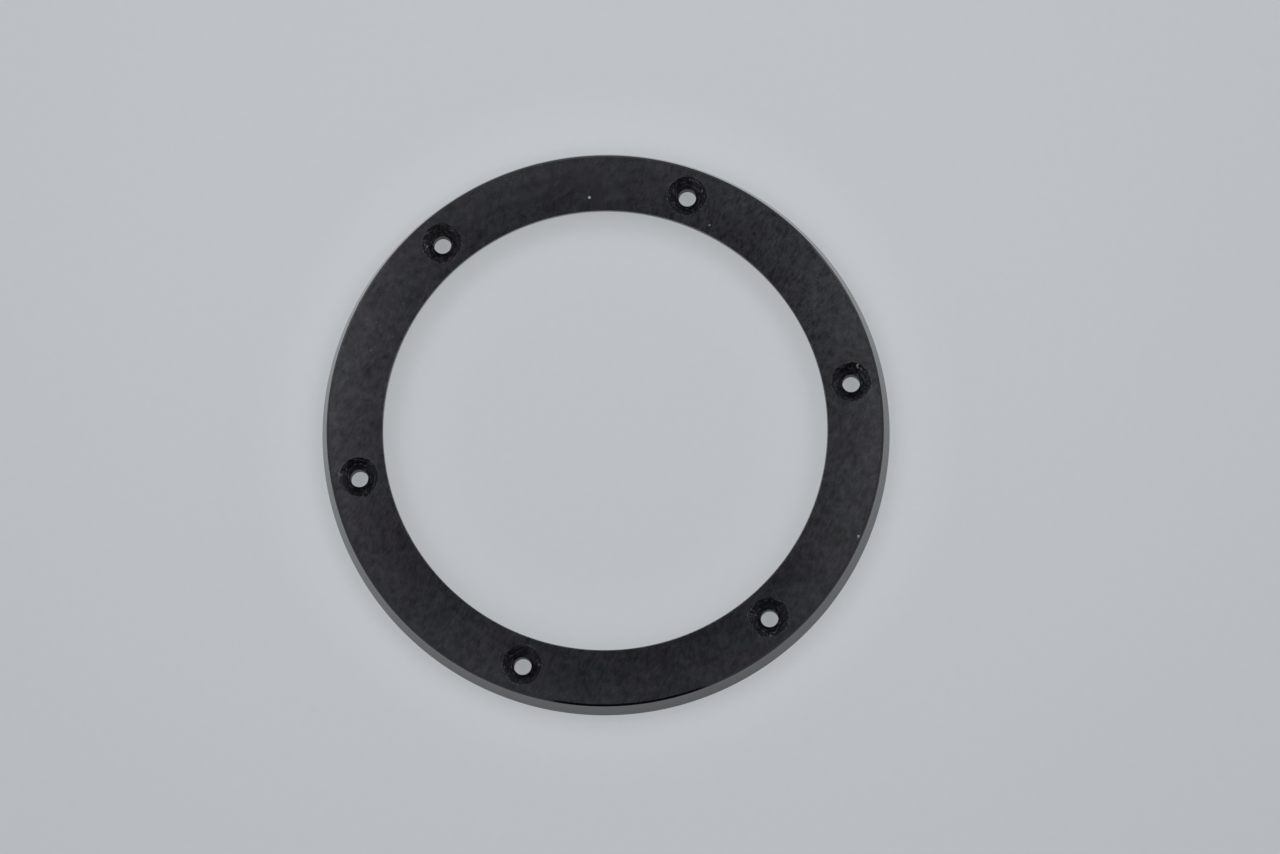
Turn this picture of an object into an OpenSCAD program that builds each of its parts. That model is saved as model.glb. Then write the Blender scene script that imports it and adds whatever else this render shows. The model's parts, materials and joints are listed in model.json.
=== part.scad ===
// Watch bezel: a flat ring with a polished, leaning outer wall, an opening with a
// crystal seat behind it, and countersunk screw holes spread evenly round its face.
// All sizes are in millimetres. The origin is the centre of the ring on its back face,
// +Z leaves the front face, and the first screw hole lies on +X.

/* [Ring] */
// Outside diameter, the largest, just above the back face
outside_d = 42; // [20:0.1:80]
// Height from the back face to the front face
ring_h = 2; // [1.4:0.1:4]
// Width of the ring, from its outside to the edge of the opening
ring_w = 4.6; // [4.5:0.1:8]
// Distance by which the outer wall leans in from the back to the front
wall_lean = 0.42; // [0:0.01:0.6]

/* [Crystal seat] */
// Width of the seat cut into the back, from the opening outwards
seat_w = 0.8; // [0.3:0.05:1]
// Height of the lip left between the seat and the front face
lip_h = 0.5; // [0.3:0.05:1]

/* [Screw holes] */
// Number of screw holes
screw_count = 6; // [3:1:12]
// Distance from the outside of the ring in to the screw circle
screw_inset = 2.5; // [2.2:0.05:2.7]
// Diameter of each screw hole
screw_hole_d = 1.3; // [0.8:0.05:1.6]
// Diameter of each countersink at the front face
countersink_d = 2.8; // [1.8:0.05:2.9]
// Full angle of the countersink cone
countersink_angle = 90; // [80:1:120]

/* [Edges] */
// Width of the polished facet between the front face and the outer wall
facet_w = 0.16; // [0.02:0.01:0.2]
// Drop of that facet from the front face to the outer wall
facet_drop = 0.025; // [0.01:0.005:0.1]
// Width of the broken edge round the opening
opening_break = 0.06; // [0.01:0.01:0.15]
// Width of the broken edges round the back face
back_break = 0.08; // [0.01:0.01:0.2]
// Width of the broken edge where each screw hole leaves the back face
hole_break = 0.06; // [0.01:0.01:0.15]

/* [Hidden] */
$fn = 180;
outside_r = outside_d / 2;
face_r = outside_r - wall_lean;
opening_r = outside_r - ring_w;
seat_r = opening_r + seat_w;
screw_circle_r = outside_r - screw_inset;
screw_step = 360 / screw_count;
// Height of the cone between the screw hole and the front face
countersink_h = (countersink_d - screw_hole_d) / 2 / tan(countersink_angle / 2);
// How far a cutting tool runs past the face that it opens
overrun = 0.5;

// Half of the ring's section, with the distance from the axis along X and the height along Y
module ring_section() {
    polygon([
        [seat_r + back_break, 0],
        [outside_r - back_break, 0],
        [outside_r, back_break],
        [face_r, ring_h - facet_drop],
        [face_r - facet_w, ring_h],
        [opening_r + opening_break, ring_h],
        [opening_r, ring_h - opening_break],
        [opening_r, ring_h - lip_h],
        [seat_r, ring_h - lip_h],
        [seat_r, back_break]
    ]);
}

// A cone that opens upwards: radius r at height 0, growing by slope for each millimetre
module opening_cone(r, slope, h) {
    cylinder(r1 = r, r2 = r + slope * h, h = h);
}

// What one screw takes out of the ring: its hole, its countersink and the break at the back
module screw_cut() {
    hole_r = screw_hole_d / 2;
    cone_slope = tan(countersink_angle / 2);
    translate([0, 0, -overrun])
        cylinder(r = hole_r, h = ring_h + 2 * overrun);
    translate([0, 0, ring_h - countersink_h])
        opening_cone(hole_r, cone_slope, countersink_h + overrun);
    translate([0, 0, hole_break])
        mirror([0, 0, 1])
            opening_cone(hole_r, 1, hole_break + overrun);
}

module bezel_ring() {
    color([0.05, 0.05, 0.055])
        difference() {
            rotate_extrude()
                ring_section();
            for (i = [0 : screw_count - 1])
                rotate([0, 0, i * screw_step])
                    translate([screw_circle_r, 0, 0])
                        screw_cut();
        }
}

bezel_ring();
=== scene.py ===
# Watch bezel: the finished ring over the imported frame, on a pale floor in soft light
import json
import math

import bmesh
import bpy
from mathutils import Matrix, Vector

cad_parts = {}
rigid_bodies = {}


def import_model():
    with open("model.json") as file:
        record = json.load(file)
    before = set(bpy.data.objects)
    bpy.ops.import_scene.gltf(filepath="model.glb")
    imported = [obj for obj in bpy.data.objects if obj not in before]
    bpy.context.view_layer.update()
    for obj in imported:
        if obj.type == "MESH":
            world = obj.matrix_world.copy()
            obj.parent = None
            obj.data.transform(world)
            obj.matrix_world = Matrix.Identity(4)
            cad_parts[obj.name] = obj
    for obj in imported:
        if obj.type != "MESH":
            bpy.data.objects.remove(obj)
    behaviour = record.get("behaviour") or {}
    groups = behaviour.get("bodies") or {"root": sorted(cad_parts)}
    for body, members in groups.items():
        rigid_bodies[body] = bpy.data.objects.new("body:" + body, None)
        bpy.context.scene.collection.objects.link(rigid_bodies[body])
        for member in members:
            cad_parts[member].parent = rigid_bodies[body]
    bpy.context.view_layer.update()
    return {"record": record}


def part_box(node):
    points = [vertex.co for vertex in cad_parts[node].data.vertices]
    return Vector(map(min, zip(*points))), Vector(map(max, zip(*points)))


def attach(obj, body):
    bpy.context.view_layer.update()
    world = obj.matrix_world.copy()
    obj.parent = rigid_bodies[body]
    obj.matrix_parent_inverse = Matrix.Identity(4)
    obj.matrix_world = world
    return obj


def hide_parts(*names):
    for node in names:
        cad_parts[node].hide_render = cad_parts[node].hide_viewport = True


mm = 0.001
black = (0, 0, 0, 1)
for leftover in list(bpy.data.objects):
    bpy.data.objects.remove(leftover)
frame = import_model()
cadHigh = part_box("bezel_ring")[1]
mounts = {mount["name"]: mount for mount in frame["record"]["mounts"]}
print("stage: frame loaded")


class Wire:
    # one output of a node; arithmetic on it adds Math nodes to the same tree
    def __init__(self, graph, socket):
        self.graph = graph
        self.socket = socket

    def calc(self, operation, *others):
        return self.graph.add("ShaderNodeMath", {"operation": operation}, [self, *others])

    def other(self, name):
        # another output of the same node
        return Wire(self.graph, self.socket.node.outputs[name])

    def __add__(self, value):
        return self.calc("ADD", value)

    def __sub__(self, value):
        return self.calc("SUBTRACT", value)

    def __mul__(self, value):
        return self.calc("MULTIPLY", value)

    def __truediv__(self, value):
        return self.calc("DIVIDE", value)

    def __rsub__(self, value):
        return self.graph.add("ShaderNodeMath", {"operation": "SUBTRACT"}, [value, self])

    __radd__ = __add__
    __rmul__ = __mul__


class Graph:
    # a node tree; add() makes a node, sets it up, then fills or links its inputs
    def __init__(self, tree):
        self.tree = tree

    def add(self, kind, settings=None, values=None, output=0):
        node = self.tree.nodes.new(kind)
        for name, value in (settings or {}).items():
            if name == "stops":
                setStops(node.color_ramp, value)
            else:
                setattr(node, name, value)
        entries = values.items() if isinstance(values, dict) else enumerate(values or [])
        for key, value in entries:
            if isinstance(value, Wire):
                self.tree.links.new(value.socket, node.inputs[key])
            else:
                node.inputs[key].default_value = value
        return Wire(self, node.outputs[output]) if node.outputs else node

    def between(self, value, start, end):
        # a smooth step, from 0 at the start to 1 at the end
        settings = {"interpolation_type": "SMOOTHSTEP"}
        return self.add("ShaderNodeMapRange", settings, [value, start, end])

    def blend(self, mask, low, high):
        return self.add("ShaderNodeMix", {}, {0: mask, 2: low, 3: high})

    def tinted(self, mask, low, high):
        values = {0: mask, 6: low, 7: high}
        return self.add("ShaderNodeMix", {"data_type": "RGBA"}, values, output=2)

    def vectors(self, operation, *values, output=0):
        return self.add("ShaderNodeVectorMath", {"operation": operation}, values, output)

    def spun(self, vector, angle):
        # the vector turned about the ring's axis
        values = {"Vector": vector, "Angle": angle}
        return self.add("ShaderNodeVectorRotate", {"rotation_type": "Z_AXIS"}, values)


def setStops(ramp, stops):
    while len(ramp.elements) < len(stops):
        ramp.elements.new(1)
    for element, (position, level) in zip(ramp.elements, stops):
        element.position = position
        element.color = (level, level, level, 1)


def emptyGraph(owner):
    # the nodes of a new material or world, with none left in them
    owner.use_nodes = True
    owner.node_tree.nodes.clear()
    return Graph(owner.node_tree)


def placed(name, data):
    made = bpy.data.objects.new(name, data)
    bpy.context.scene.collection.objects.link(made)
    return made


def mountSize(name, key):
    return mounts[name]["dims"][key] * mm


# Camera: fitted to the edges and screw holes of the ring in the photograph
view = {
    "photoSize": (1280, 854),
    "faceCentre": (604.98, 429.30),      # where the photograph shows the centre of the face
    "backEdgeRadius": 284.62,            # the outside radius in pixels, seen from there
    "focalLength": 7640,                 # in pixels too
    "tilt": math.radians(8.887),         # off the ring's axis
    "roll": math.radians(9.768),         # direction of the axis that it tilts about
    "ringTurn": math.radians(10.946),    # how far the ring lies turned on the floor
    "sensorWidth": 36,
    "clip": (0.01, 10),                  # nearest and furthest that it sees, in metres
}


def makeCamera():
    data = bpy.data.cameras.new("photoCamera")
    camera = placed("photoCamera", data)
    bpy.context.scene.camera = camera
    pixel = cadHigh.x / view["backEdgeRadius"]
    middle = [side / 2 for side in view["photoSize"]]
    # from the middle of the face to the lens, along the camera's own axes
    away = Vector((
        (middle[0] - view["faceCentre"][0]) * pixel,
        (view["faceCentre"][1] - middle[1]) * pixel,
        view["focalLength"] * pixel,
    ))
    tiltAxis = Vector((math.cos(view["roll"]), math.sin(view["roll"]), 0))
    tilted = Matrix.Rotation(view["tilt"], 4, tiltAxis)
    turned = Matrix.Rotation(-view["ringTurn"], 4, "Z") @ tilted
    faceCentre = Vector((0, 0, cadHigh.z))
    camera.matrix_world = Matrix.Translation(faceCentre + turned @ away) @ turned
    data.sensor_width = view["sensorWidth"]
    data.lens = view["sensorWidth"] * view["focalLength"] / view["photoSize"][0]
    data.clip_start, data.clip_end = view["clip"]
    return camera


camera = makeCamera()
print("stage: camera placed")


# The ring's section and its screw holes, in metres
ring = {
    "outsideRadius": cadHigh.x,
    "height": cadHigh.z,
    "openingRadius": mountSize("opening", "r_mm"),
    "seatRadius": mountSize("crystal_seat", "r_mm"),
    "seatDepth": mounts["crystal_seat"]["pos_m"][2] + mountSize("crystal_seat", "length_mm") / 2,
    "wallLean": 0.42 * mm,
    "facetWidth": 0.16 * mm,
    "facetDrop": 0.025 * mm,
    "facetRound": 0.03 * mm,
    "wallRound": 0.012 * mm,
    "openingRound": 0.06 * mm,
    "lipRound": 0.03 * mm,
    "seatFillet": 0.05 * mm,
    "footRound": 0.045 * mm,
    "backRound": 0.08 * mm,
    "flatStart": 2,                      # from an edge to the flat beside it, in roundings
    "arcSteps": 3,
    "arcHold": 0.6,                      # from an arc's ends to the next points, in its radii
    "columns": 120,                      # across one sector, which holds one screw hole
    "mergeDistance": 0.001 * mm,
}
screws = {
    "count": mounts["screw_holes"]["dims"]["count"],
    "circleRadius": mountSize("screw_holes", "pcd_mm") / 2,
    "holeRadius": mountSize("screw_holes", "hole_r_mm"),
    "rimRadius": 1.4 * mm,
    "rimRound": 0.015 * mm,
    "mouthRound": 0.04 * mm,
    "backRound": 0.06 * mm,
    "pastRim": [0.02, 0.05, 0.09, 0.14, 0.2, 0.28],    # rings on the face, in millimetres
    "insideRim": [0.04, 0.08, 0.13, 0.19, 0.27, 0.4],  # rings on the cone, in millimetres
    "pastBackBreak": [0.05, 0.2],        # rings on the back face, in millimetres
    "sideSteps": 16,                     # along the straight sides of a sector
    "frontSteps": 7,                     # from the last of the rings to the sector's outline
    "backSteps": 3,                      # the same on the back
}


def arcCorner(before, corner, after, radius):
    # points of the arc that rounds a corner, with one on each line just past its ends
    steps = ring["arcSteps"]
    toBefore = (before - corner).normalized()
    toAfter = (after - corner).normalized()
    half = toBefore.angle(toAfter) / 2
    reach = radius / math.tan(half)
    middle = corner + (toBefore + toAfter).normalized() * radius / math.sin(half)
    first = corner + toBefore * reach - middle
    last = corner + toAfter * reach - middle
    arc = [middle + first.slerp(last, step / steps) * radius for step in range(steps + 1)]
    hold = radius * ring["arcHold"]
    return [arc[0] + toBefore * hold, *arc, arc[-1] + toAfter * hold]


def roundedLine(corners):
    # corners: (distance from the axis, height, rounding), and 0 leaves a point as it is
    points = [Vector(corner[:2]) for corner in corners]
    line = []
    for i, corner in enumerate(corners):
        if corner[2]:
            line += arcCorner(points[i - 1], points[i], points[i + 1], corner[2])
        else:
            line.append(points[i])
    return line


class SectorMesh:
    # gathers sheets: rows of points, with faces between neighbouring rows
    def __init__(self):
        self.vertices = []
        self.faces = []

    def sheet(self, rows):
        start = len(self.vertices)
        width = len(rows[0])
        for row in rows:
            self.vertices += row
        for r in range(len(rows) - 1):
            for c in range(width - 1):
                corner = start + r * width + c
                self.faces.append((corner, corner + 1, corner + width + 1, corner + width))


def ringPoint(radius, angle, height):
    return Vector((radius * math.cos(angle), radius * math.sin(angle), height))


def holePoint(radius, angle, height):
    return ringPoint(radius, angle, height) + Vector((screws["circleRadius"], 0, 0))


def sectorOutline(inner, outer, height):
    # once round the sector's face, from the middle of its outer arc
    half = math.pi / screws["count"]
    columns, sides = ring["columns"], screws["sideSteps"]
    outline = [ringPoint(outer, 2 * half * c / columns, height) for c in range(columns // 2)]
    for s in range(sides):
        outline.append(ringPoint(outer + (inner - outer) * s / sides, half, height))
    for c in range(columns):
        outline.append(ringPoint(inner, half - 2 * half * c / columns, height))
    for s in range(sides):
        outline.append(ringPoint(inner + (outer - inner) * s / sides, -half, height))
    for c in range(columns // 2 + 1):
        outline.append(ringPoint(outer, 2 * half * c / columns - half, height))
    return outline


def flatPatch(mesh, holeRings, steps, outline, height):
    # a flat face, from the rings round the screw hole out to the sector's outline
    turns = [2 * math.pi * i / (len(outline) - 1) for i in range(len(outline))]
    rows = [[holePoint(radius, turn, height) for turn in turns] for radius in holeRings]
    collar = rows[-1]
    for step in range(1, steps + 1):
        rows.append([near.lerp(far, step / steps) for near, far in zip(collar, outline)])
    mesh.sheet(rows)
    return turns


def makeSector():
    mesh = SectorMesh()
    height, back = ring["height"], 0
    half = math.pi / screws["count"]
    angles = [half * (2 * c / ring["columns"] - 1) for c in range(ring["columns"] + 1)]
    wallTop = ring["outsideRadius"] - ring["wallLean"]
    wallHeight = height - ring["facetDrop"] - ring["backRound"]
    wallFoot = ring["outsideRadius"] + ring["wallLean"] * ring["backRound"] / wallHeight
    facetTop = wallTop - ring["facetWidth"]
    faceOuter = facetTop - ring["facetRound"]
    faceInner = ring["openingRadius"] + ring["flatStart"] * ring["openingRound"]
    backOuter = ring["outsideRadius"] - ring["flatStart"] * ring["backRound"]
    backInner = ring["seatRadius"] + ring["flatStart"] * ring["backRound"]
    outside = roundedLine([
        (faceOuter, height, 0),
        (facetTop, height, ring["facetRound"]),
        (wallTop, height - ring["facetDrop"], ring["wallRound"]),
        (wallFoot, back, ring["footRound"]),
        (backOuter, back, 0),
    ])
    inside = roundedLine([
        (faceInner, height, 0),
        (ring["openingRadius"], height, ring["openingRound"]),
        (ring["openingRadius"], ring["seatDepth"], ring["lipRound"]),
        (ring["seatRadius"], ring["seatDepth"], ring["seatFillet"]),
        (ring["seatRadius"], back, ring["backRound"]),
        (backInner, back, 0),
    ])
    for section in (outside, inside):
        mesh.sheet([[ringPoint(p.x, angle, p.y) for angle in angles] for p in section])
    rim, hole = screws["rimRadius"], screws["holeRadius"]
    backBreak = hole + ring["flatStart"] * screws["backRound"]
    frontRings = [rim + past * mm for past in screws["pastRim"]]
    backRings = [backBreak + past * mm for past in screws["pastBackBreak"]]
    frontEdge = sectorOutline(faceInner, faceOuter, height)
    backEdge = sectorOutline(backInner, backOuter, back)
    turns = flatPatch(mesh, frontRings, screws["frontSteps"], frontEdge, height)
    flatPatch(mesh, backRings, screws["backSteps"], backEdge, back)
    cone = [(rim - step * mm, height - step * mm, 0) for step in screws["insideRim"]]
    cut = roundedLine([
        (frontRings[0], height, 0),
        (rim, height, screws["rimRound"]),
        *cone,
        (hole, height - (rim - hole), screws["mouthRound"]),
        (hole, back, screws["backRound"]),
        (backRings[0], back, 0),
    ])
    mesh.sheet([[holePoint(p.x, turn, p.y) for turn in turns] for p in cut])
    data = bpy.data.meshes.new("bezelSector")
    data.from_pydata(mesh.vertices, [], mesh.faces)
    return data


# Chips that the countersinking left round the rims: a few large ones and a ragged line of
# small ones, for each of which noise sets the size
chips = {
    "Chip Growth": 0.9 * mm,             # past the rim, for each unit of noise over the threshold
    "Chip Threshold": 0.55,
    "Chip Cells": 2.2,                   # noise cells across a rim
    "Chip Run": 0.5 * mm,                # how far down the cone and over the face chips fade
    "Chip Seed": 60.0,
    "Ragged Growth": 0.33 * mm,
    "Ragged Threshold": 0.32,
    "Ragged Cells": 11.0,
    "Ragged Run": 0.34 * mm,
    "Ragged Seed": 110.0,
    "Noise Detail": 1.0,
    "Hole Shift": 7.3,                   # sets the noise of one screw hole apart from the next
}


def makeRingTree():
    tree = bpy.data.node_groups.new("ringFromSector", "GeometryNodeTree")
    graph = Graph(tree)

    def socket(name, kind, direction="INPUT"):
        tree.interface.new_socket(name, in_out=direction, socket_type="NodeSocket" + kind)

    def store(geometry, name, value, kind="FLOAT", domain="POINT"):
        settings = {"data_type": kind, "domain": domain}
        values = {"Geometry": geometry, "Name": name, "Value": value}
        return graph.add("GeometryNodeStoreNamedAttribute", settings, values)

    def stored(name, kind="FLOAT"):
        return graph.add("GeometryNodeInputNamedAttribute", {"data_type": kind}, {"Name": name})

    def position():
        return graph.add("ShaderNodeSeparateXYZ", {}, [graph.add("GeometryNodeInputPosition")])

    socket("Geometry", "Geometry")
    socket("Screw Count", "Int")
    for name in ("Circle Radius", "Rim Radius", "Face Height", "Merge Distance", *chips):
        socket(name, "Float")
    socket("Material", "Material")
    socket("Geometry", "Geometry", "OUTPUT")
    given = graph.add("NodeGroupInput")
    count = given.other("Screw Count")

    # what each point of the one sector knows of its screw hole: how far it is, and which way
    place = position()
    across = place - given.other("Circle Radius")
    along = place.other("Y")
    fromHole = (across * across + along * along).calc("SQRT")
    rimward = graph.add("ShaderNodeCombineXYZ", {}, [across / fromHole, along / fromHole, 0.0])
    sector = store(given.other("Geometry"), "fromHole", fromHole)
    sector = store(sector, "rimward", rimward, "FLOAT_VECTOR")

    # one sector for each screw, turned about the ring's axis and joined
    points = graph.add("GeometryNodePoints", {}, {"Count": count})
    index = graph.add("GeometryNodeInputIndex")
    angle = index * (2 * math.pi) / count
    turn = graph.add("FunctionNodeAxisAngleToRotation", {}, {"Axis": (0, 0, 1), "Angle": angle})
    values = {"Points": points, "Instance": sector, "Rotation": turn}
    copies = graph.add("GeometryNodeInstanceOnPoints", {}, values)
    copies = store(copies, "hole", index, domain="INSTANCE")
    whole = graph.add("GeometryNodeRealizeInstances", {}, [copies])
    values = {"Geometry": whole, "Distance": given.other("Merge Distance")}
    whole = graph.add("GeometryNodeMergeByDistance", {}, values)
    hole = stored("hole")
    shift = graph.add("ShaderNodeCombineXYZ", {}, [0.0, 0.0, hole * given.other("Hole Shift")])
    rimward = stored("rimward", "FLOAT_VECTOR")
    whole = store(whole, "rimward", graph.vectors("ADD", rimward, shift), "FLOAT_VECTOR")

    # chips: the rim moves outwards, and the cone and the face beside it follow
    past = (stored("fromHole") - given.other("Rim Radius")).calc("ABSOLUTE")
    front = position().other("Z").calc("GREATER_THAN", given.other("Face Height") / 2)

    def grown(size):
        noise = graph.add("ShaderNodeTexNoise", {"noise_dimensions": "4D"}, {
            "Vector": rimward, "W": given.other(size + " Seed"),
            "Scale": given.other(size + " Cells"), "Detail": given.other("Noise Detail"),
        })
        over = (noise - given.other(size + " Threshold")).calc("MAXIMUM", 0.0)
        fading = (1 - past / given.other(size + " Run")).calc("MAXIMUM", 0.0)
        return over * given.other(size + " Growth") * fading

    move = (grown("Chip") + grown("Ragged")) * front
    outwards = graph.spun(rimward, hole * (2 * math.pi) / count)
    values = {"Vector": graph.vectors("MULTIPLY", outwards, (1, 1, 0)), "Scale": move}
    offset = graph.add("ShaderNodeVectorMath", {"operation": "SCALE"}, values)
    whole = graph.add("GeometryNodeSetPosition", {}, {"Geometry": whole, "Offset": offset})
    whole = graph.add("GeometryNodeSetShadeSmooth", {}, {"Geometry": whole})
    values = {"Geometry": whole, "Material": given.other("Material")}
    whole = graph.add("GeometryNodeSetMaterial", {}, values)
    graph.add("NodeGroupOutput", {}, [whole])
    return tree


def plainMesh(source, name):
    # the evaluated object as a closed mesh of its own, with its faces pointing outwards
    depsgraph = bpy.context.evaluated_depsgraph_get()
    data = bpy.data.meshes.new_from_object(source.evaluated_get(depsgraph))
    data.name = name
    shell = bmesh.new()
    shell.from_mesh(data)
    bmesh.ops.recalc_face_normals(shell, faces=shell.faces)
    loose = sum(not edge.is_manifold for edge in shell.edges)
    print(f"stage: {name} has {len(shell.faces)} faces and {loose} open edges")
    shell.to_mesh(data)
    shell.free()
    data.attributes.remove(data.attributes["hole"])
    made = placed(name, data)
    bpy.data.objects.remove(source)
    return made


def makeRing(material):
    source = placed("bezelSector", makeSector())
    modifier = source.modifiers.new("ringFromSector", "NODES")
    modifier.node_group = makeRingTree()
    values = {
        "Screw Count": screws["count"],
        "Circle Radius": screws["circleRadius"],
        "Rim Radius": screws["rimRadius"],
        "Face Height": ring["height"],
        "Merge Distance": ring["mergeDistance"],
        "Material": material,
        **chips,
    }
    for socket in modifier.node_group.interface.items_tree:
        if socket.in_out == "INPUT" and socket.name in values:
            modifier[socket.identifier] = values[socket.name]
    return plainMesh(source, "bezelRing")


# Black ceramic: satin face, polished wall and facet, cut countersinks, ground back
finish = {
    "ior": 1.76,
    "coolTint": (0.43, 0.6, 0.86, 1),    # the two tints that the face drifts between
    "warmTint": (0.62, 0.43, 0.86, 1),
    "cutTint": (0.57, 0.52, 0.95, 1),
    "polishTint": (0.6, 0.5, 1.0, 1),
    "innerTone": 0.009,                  # of the face beside the opening
    "outerTone": 0.0105,                 # and beside the facet
    "polishTone": 0.003,
    "cloudTone": 0.014,
    "blotchTone": 0.014,
    "grainTone": 0.019,
    "cutTone": 0.0024,
    "cutMarkTone": 0.016,
    "leastTone": 0.001,
    "innerRoughness": 0.225,
    "outerRoughness": 0.26,
    "cloudRoughness": 0.04,
    "blotchRoughness": 0.08,
    "grainRoughness": 0.1,
    "lipRoughness": 0.1,
    "polishRoughness": 0.06,
    "edgeRoughness": 0.3,
    "coneRoughness": 0.18,
    "boreRoughness": 0.38,
    "backRoughness": 0.45,
    "tintCells": 260,                    # for each metre, as the other cells are
    "tintSteps": (-0.15, 0.15),          # noise levels of the cool tint and of the warm one
    "cloudCells": 420,
    "blotchCells": 1500,
    "grainTurn": math.radians(54),       # direction of its strokes, from the first screw hole
    "grainCells": (2400, 5200, 5200),    # cells of the grain along its strokes, across and down
    "grainLeast": 0.76,                  # strength of the grain outside the stroke patch
    "grainMost": 0.9,                    # and in it
    "strokePatch": (18.2 * mm, 36.0, 9.5 * mm),    # distance from the axis, degrees and radius
    "patchCore": 0.4,                    # share of its radius within which nearness is full
    "patchPull": 0.35,                   # how much nearness to it adds to its ragged noise
    "patchCells": 210,                   # of that noise
    "patchSteps": (0.05, 0.3),           # levels where the patch starts and where it is full
    "strokeSteps": (-0.03, -0.13),       # and a dark stroke in it
    "strokeTone": 0.0022,                # what the dark strokes take off the tone
    "strokeRoughness": 0.01,             # and off the roughness
    "speckCells": 6000,
    "speckRagged": 0.35 * mm,            # how far noise pulls the outline of a speck about
    "speckSteps": (0.6, 0.4),            # its soft edge, in diameters from its middle
    "markRing": 2.6,                     # cells of the cutter's marks round a screw hole
    "markCells": 9000,                   # and from the hole outwards
    "markSteps": (0.03, 0.2),
    "grainDepth": 0.0017 * mm,
    "blotchDepth": 0.003 * mm,
    "markDepth": 0.01 * mm,
    "circularGrain": 0.8,                # how far the finest scratches run round the ring's axis
    "circularTurn": 0.25,                # a quarter turn, which makes that their direction
}

# Where one finish fades into the next, measured from an edge: outwards in the first four,
# and downwards in the last four
fades = {
    "facet": (-0.02 * mm, 0.01 * mm),
    "opening": (0.02 * mm, 0.07 * mm),
    "seatWall": (0.05 * mm, 0.1 * mm),
    "rim": (-0.02 * mm, 0.01 * mm),
    "lip": (0.03 * mm, 0.06 * mm),
    "bore": (0.7 * mm, 0.76 * mm),
    "seat": (-0.02 * mm, 0),
    "back": (-0.05 * mm, 0),
}

# Pale specks, on the face and in the countersinks: distance from the axis, degrees round it,
# diameter and tone
specks = {
    "faceFar": (17.44 * mm, 83.0, 0.2 * mm, 0.35),
    "faceInside": (17.1 * mm, 52.3, 0.12 * mm, 0.14),
    "faceLeft": (18.75 * mm, 143.7, 0.09 * mm, 0.07),
    "faceLowerLeft": (18.38 * mm, 150.0, 0.1 * mm, 0.07),
    "faceRight": (20.31 * mm, -34.1, 0.17 * mm, 0.2),
    "firstCone": (19.2 * mm, 2.95, 0.14 * mm, 0.2),
    "firstConeTail": (19.23 * mm, 3.45, 0.12 * mm, 0.2),
    "secondCone": (19.25 * mm, 57.4, 0.15 * mm, 0.11),
    "thirdCone": (19.1 * mm, 123.04, 0.14 * mm, 0.1),
    "fourthCone": (18.2 * mm, -176.11, 0.15 * mm, 0.06),
    "fourthRim": (19.87 * mm, 178.7, 0.24 * mm, 0.06),
    "fifthCone": (18.1 * mm, -116.19, 0.2 * mm, 0.045),
    "sixthCone": (19.6 * mm, -62.43, 0.14 * mm, 0.08),
}


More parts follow.
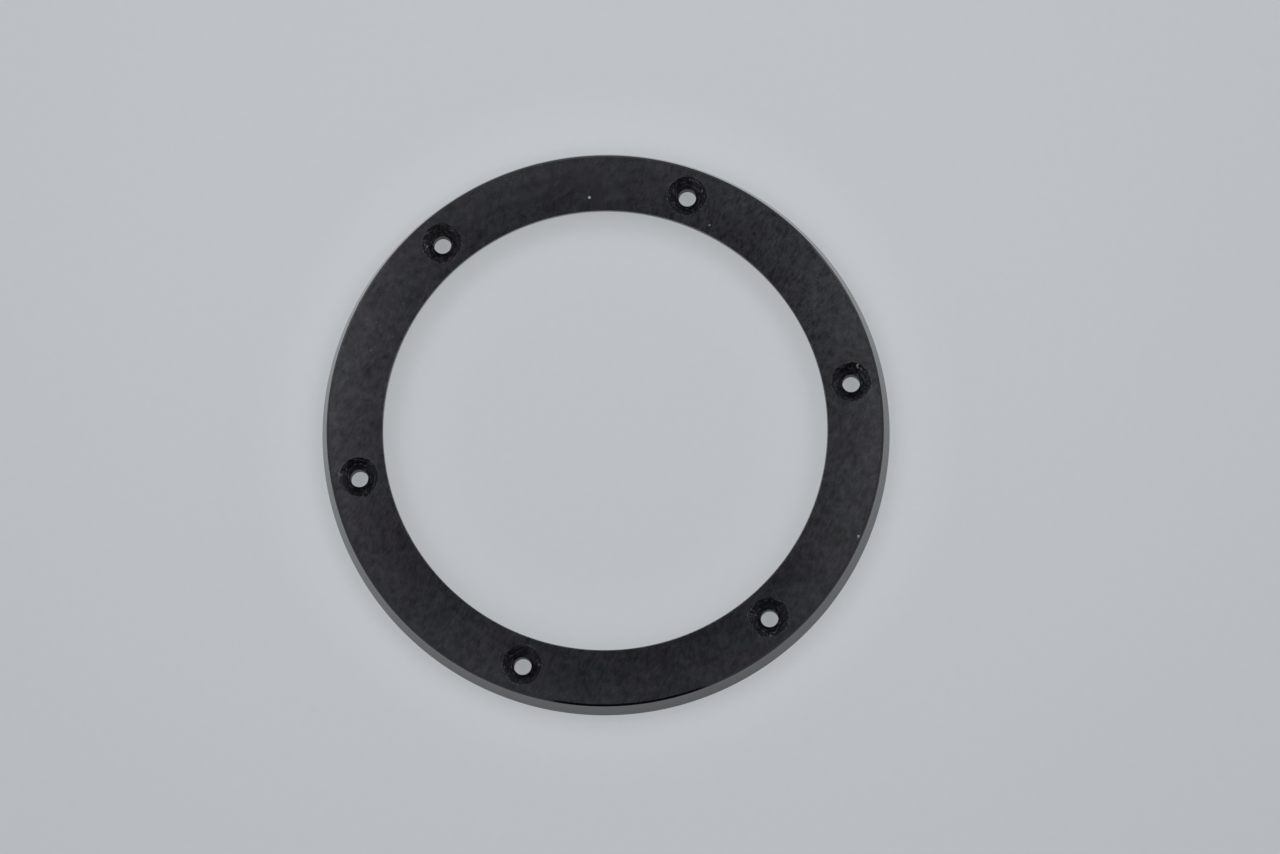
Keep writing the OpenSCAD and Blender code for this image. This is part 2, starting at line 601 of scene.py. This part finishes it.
def ceramicMaterial():
    material = bpy.data.materials.new("blackCeramic")
    graph = emptyGraph(material)
    between, blend, tinted = graph.between, graph.blend, graph.tinted

    def beyond(value, edge, name):
        start, end = fades[name]
        return between(value, edge + start, edge + end)

    def noise(vector, cells):
        return graph.add("ShaderNodeTexNoise", {}, {"Vector": vector, "Scale": cells}) - 0.5

    def attribute(name, output):
        return graph.add("ShaderNodeAttribute", {"attribute_name": name}, output=output)

    def distanceTo(vector, radius, degrees, height):
        point = ringPoint(radius, math.radians(degrees), height)
        return graph.vectors("DISTANCE", vector, point, output="Value")

    place = graph.add("ShaderNodeTexCoord", output="Object")
    parts = graph.add("ShaderNodeSeparateXYZ", {}, [place])
    depth = ring["height"] - parts.other("Z")
    radius = (parts * parts + parts.other("Y") * parts.other("Y")).calc("SQRT")
    fromHole = attribute("fromHole", "Fac")
    rimward = graph.add("ShaderNodeSeparateXYZ", {}, [attribute("rimward", "Vector")])
    facetTop = ring["outsideRadius"] - ring["wallLean"] - ring["facetWidth"]

    # where each finish lies
    across = between(radius, ring["openingRadius"], facetTop)
    polished = beyond(radius, facetTop, "facet")
    edge = 1 - beyond(radius, ring["openingRadius"], "opening")
    lip = edge * beyond(depth, 0, "lip")
    bore = beyond(depth, 0, "bore")
    seat = beyond(depth, ring["height"] - ring["seatDepth"], "seat")
    under = seat * (1 - beyond(radius, ring["seatRadius"], "seatWall"))
    under = under.calc("MAXIMUM", beyond(depth, ring["height"], "back"))
    cut = (1 - beyond(fromHole, screws["rimRadius"], "rim")) * (1 - under)

    # what breaks each finish up
    clouds = noise(place, finish["cloudCells"])
    blotches = noise(place, finish["blotchCells"])
    along = graph.vectors("MULTIPLY", graph.spun(place, -finish["grainTurn"]), finish["grainCells"])
    stroke = noise(along, 1.0)
    patchRadius, degrees, size = finish["strokePatch"]
    away = distanceTo(place, patchRadius, degrees, ring["height"])
    nearness = between(away, size, size * finish["patchCore"]) * finish["patchPull"]
    patch = between(noise(place, finish["patchCells"]) + nearness, *finish["patchSteps"])
    grain = stroke * blend(patch, finish["grainLeast"], finish["grainMost"])
    dark = between(stroke, *finish["strokeSteps"]) * patch
    about = graph.add("ShaderNodeCombineXYZ", {}, [
        rimward * finish["markRing"],
        rimward.other("Y") * finish["markRing"],
        rimward.other("Z") + fromHole * finish["markCells"],
    ])
    marks = between(noise(about, 1.0), *finish["markSteps"]) * cut

    # how dark, how smooth and how deep
    tone = blend(across, finish["innerTone"], finish["outerTone"])
    tone = (tone + clouds * finish["cloudTone"] + blotches * finish["blotchTone"]
            + grain * finish["grainTone"] - dark * finish["strokeTone"])
    tone = blend(polished, tone, finish["polishTone"])
    tone = blend(cut, tone, finish["cutTone"]) + marks * (1 - bore) * finish["cutMarkTone"]
    roughness = blend(across, finish["innerRoughness"], finish["outerRoughness"])
    roughness = (roughness + clouds * finish["cloudRoughness"]
                 + blotches * finish["blotchRoughness"]
                 + grain * finish["grainRoughness"] - dark * finish["strokeRoughness"])
    masks = {"edge": edge, "lip": lip, "polish": polished, "back": under, "cone": cut,
             "bore": cut * bore}
    for name, mask in masks.items():
        roughness = blend(mask, roughness, finish[name + "Roughness"])
    height = grain * finish["grainDepth"] + blotches * finish["blotchDepth"]
    height = height * (1 - polished) + marks * finish["markDepth"]

    # colour, with the specks over it
    drift = between(noise(place, finish["tintCells"]), *finish["tintSteps"])
    tint = tinted(drift, finish["coolTint"], finish["warmTint"])
    tint = tinted(polished, tint, finish["polishTint"])
    tint = tinted(cut, tint, finish["cutTint"])
    colour = tinted(tone.calc("MAXIMUM", finish["leastTone"]), black, tint)
    pulled = graph.add("ShaderNodeCombineXYZ", {}, [
        parts + noise(place, finish["speckCells"]) * finish["speckRagged"],
        parts.other("Y") + stroke * finish["speckRagged"],
        0.0,
    ])
    start, end = finish["speckSteps"]
    for speckRadius, degrees, size, speckTone in specks.values():
        away = distanceTo(pulled, speckRadius, degrees, 0)
        speck = between(away, start * size, end * size) * (1 - bore)
        colour = tinted(speck, colour, (speckTone, speckTone, speckTone, 1))
    bump = graph.add("ShaderNodeBump", {}, {"Height": height, "Distance": 1.0})
    shader = graph.add("ShaderNodeBsdfPrincipled", {}, {
        "Base Color": colour, "Roughness": roughness, "Normal": bump, "IOR": finish["ior"],
        "Anisotropic": finish["circularGrain"], "Anisotropic Rotation": finish["circularTurn"],
    })
    graph.add("ShaderNodeOutputMaterial", {}, {"Surface": shader})
    return material


bezel = makeRing(ceramicMaterial())
print("stage: bezel ring made")


# Studio: a pale floor with painted light and shade round the ring, a soft dome and softboxes round
# it, and a dark card behind the lens
studio = {
    "floorTint": (0.955, 1.0, 1.04, 1),
    "floorTone": 0.171,                  # what the floor gives back of the light on it
    "floorGlow": 0.358,                  # and what shines through it, to the eye and in gloss
    "floorRoughness": 0.9,
    "floorWidth": 2.0,
    "floorDrop": 0.01 * mm,
    "fibreCells": 1500,
    "fibreDetail": 4,
    "fibreTone": 0.04,
    "paintedLightFall": (-70 * mm, 70 * mm, 0.09),    # painted light: how it lightens towards the picture's top
    "paintedFloorRings": {                      # painted light and shade round the ring: start, full, full, end, gain
        # painted halo of light on the floor inside the opening
        "inner": (9.5 * mm, 14 * mm, 16.5 * mm, 19 * mm, 0.02),
        # painted halo of light, as the polished wall throws it onto the floor round the ring
        "outer": (18 * mm, 21 * mm, 22 * mm, 27 * mm, 0.05),
        # painted falloff of light, darker further from the ring
        "edge": (28 * mm, 60 * mm, 0.9, 1.0, -0.035),
        # painted shade on the floor seen through the screw holes
        "paintedScrewHoleShade": (17.4 * mm, 17.9 * mm, 19.1 * mm, 19.6 * mm, -0.1),
        # painted contact shadow beside the ring's foot
        "foot": (20.6 * mm, 21 * mm, 21.25 * mm, 21.75 * mm, -0.03),
    },
    "backdropTone": 0.5,                 # where the floor ends
    "dome": [                            # brightness from the horizon, at 0, to overhead, at 1
        (0.0, 0.06), (0.25, 0.1), (0.45, 0.36), (0.6, 0.9), (0.8, 1.1), (0.87, 0.45),
        (0.94, 0.4), (1.0, 0.38),
    ],
    "domeTint": (0.98, 0.99, 1.03, 1),
    "topGap": (math.radians(9), math.radians(17.5)),    # full inside the one, gone past the other
    "topGapDimming": 0.96,
    "nearSteps": (0.3, 0.9),             # cosines of the angle from the camera's side
    "nearDimming": 0.8,                  # of the dome there
    "cardSize": (0.116, 0.08),
    "cardShift": (-0.016, -0.044),       # from the lens, to the picture's right and up
    "softboxDistance": 0.45,
    "softboxes": {                       # picture azimuth, elevation, width, height, radiance
        "right": (3, 54, 0.15, 0.14, 4.0),
        "farRight": (40, 54, 0.13, 0.14, 3.4),
        "left": (156, 53, 0.26, 0.14, 3.75),
        "far": (95, 52, 0.34, 0.1, 2.2),
        "near": (231, 56, 0.13, 0.14, 2.6),
    },
    "farTint": (0.92, 1.0, 1.0),
    "nearTint": (1.0, 0.985, 1.0),
}


def flatSheet(name, width, depth, level, material):
    signs = ((-1, -1), (1, -1), (1, 1), (-1, 1))
    corners = [(x * width / 2, y * depth / 2, level) for x, y in signs]
    data = bpy.data.meshes.new(name)
    data.from_pydata(corners, [], [(0, 1, 2, 3)])
    data.materials.append(material)
    sheet = placed(name, data)
    return sheet


def makeFloor():
    paper = bpy.data.materials.new("palePaper")
    graph = emptyGraph(paper)
    place = graph.add("ShaderNodeTexCoord", output="Object")
    fibres = graph.add("ShaderNodeTexNoise", {}, {
        "Vector": place, "Scale": studio["fibreCells"], "Detail": studio["fibreDetail"],
    })
    fibres = 1 - studio["fibreTone"] / 2 + fibres * studio["fibreTone"]
    radius = graph.vectors("LENGTH", place, output="Value")
    upwards = (math.sin(view["ringTurn"]), math.cos(view["ringTurn"]), 0)
    distance = graph.vectors("DOT_PRODUCT", place, upwards, output="Value")
    # painted light: the floor is lighter towards the picture's top
    low, high, gain = studio["paintedLightFall"]
    shade = fibres * (1 - gain / 2 + graph.between(distance, low, high) * gain)
    # painted halos of light and painted shadows on the floor round the ring
    for start, full, last, end, gain in studio["paintedFloorRings"].values():
        paintedBand = graph.between(radius, start, full) * (1 - graph.between(radius, last, end))
        shade = shade * (1 + paintedBand * gain)
    ray = graph.add("ShaderNodeLightPath", output="Is Camera Ray")
    seen = ray.calc("MAXIMUM", ray.other("Is Glossy Ray"))
    seen = seen.calc("MAXIMUM", ray.other("Is Transmission Ray"))
    shader = graph.add("ShaderNodeBsdfPrincipled", {}, {
        "Base Color": graph.tinted(shade * studio["floorTone"], black, studio["floorTint"]),
        "Roughness": studio["floorRoughness"],
        "Specular IOR Level": 0.0,
        "Emission Color": studio["floorTint"],
        "Emission Strength": seen * shade * studio["floorGlow"],
    })
    graph.add("ShaderNodeOutputMaterial", {}, {"Surface": shader})
    flatSheet("paleFloor", studio["floorWidth"], studio["floorWidth"], -studio["floorDrop"], paper)


def makeCard():
    # stands where the lens is, so that the facet nearest to the camera mirrors darkness
    dark = bpy.data.materials.new("darkCard")
    graph = emptyGraph(dark)
    shader = graph.add("ShaderNodeEmission", {}, {"Strength": 0.0})
    graph.add("ShaderNodeOutputMaterial", {}, {"Surface": shader})
    card = flatSheet("darkCard", *studio["cardSize"], 0, dark)
    card.matrix_world = camera.matrix_world @ Matrix.Translation((*studio["cardShift"], 0))
    for ray in ("camera", "diffuse", "transmission", "volume_scatter", "shadow"):
        setattr(card, "visible_" + ray, False)


def makeDome():
    world = bpy.data.worlds.new("softDome")
    bpy.context.scene.world = world
    graph = emptyGraph(world)
    towards = graph.add("ShaderNodeTexCoord", output="Generated")

    def along(direction):
        return graph.vectors("DOT_PRODUCT", towards, direction, output="Value")

    toCamera = camera.matrix_world.translation.normalized()
    mirrored = Vector((-toCamera.x, -toCamera.y, toCamera.z))
    nearSide = Vector((toCamera.x, toCamera.y, 0)).normalized()
    gapMiddle, gapRim = (math.cos(angle) for angle in studio["topGap"])
    gap = graph.between(along(mirrored), gapRim, gapMiddle)
    near = graph.between(along(nearSide), *studio["nearSteps"])
    level = graph.add("ShaderNodeValToRGB", {"stops": studio["dome"]}, [along((0, 0, 1))])
    level = level * (1 - gap * studio["topGapDimming"]) * (1 - near * studio["nearDimming"])
    values = {"Color": studio["domeTint"], "Strength": level}
    dome = graph.add("ShaderNodeBackground", {}, values)
    values = {"Color": studio["floorTint"], "Strength": studio["backdropTone"]}
    backdrop = graph.add("ShaderNodeBackground", {}, values)
    ray = graph.add("ShaderNodeLightPath", output="Is Camera Ray")
    sky = graph.add("ShaderNodeMixShader", {}, [ray, dome, backdrop])
    graph.add("ShaderNodeOutputWorld", {}, {"Surface": sky})


def makeSoftboxes():
    for name, (azimuth, elevation, width, height, radiance) in studio["softboxes"].items():
        lamp = bpy.data.lights.new(name + "Softbox", "AREA")
        lamp.shape = "RECTANGLE"
        lamp.size, lamp.size_y = width, height
        lamp.energy = radiance * math.pi * width * height    # in watts
        lamp.color = studio["farTint" if name == "far" else "nearTint"]
        around = math.radians(azimuth) - view["ringTurn"]
        upwards = math.radians(elevation)
        away = ringPoint(math.cos(upwards), around, math.sin(upwards))
        turned = away.to_track_quat("Z", "Y").to_matrix().to_4x4()
        box = placed(name + "Softbox", lamp)
        box.matrix_world = Matrix.Translation(away * studio["softboxDistance"]) @ turned
        box.visible_camera = False


makeFloor()
makeCard()
makeDome()
makeSoftboxes()
print("stage: studio made")

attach(bezel, "root")
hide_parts("bezel_ring")
bpy.context.scene.view_settings.view_transform = "Standard"
print("stage: scene finished")
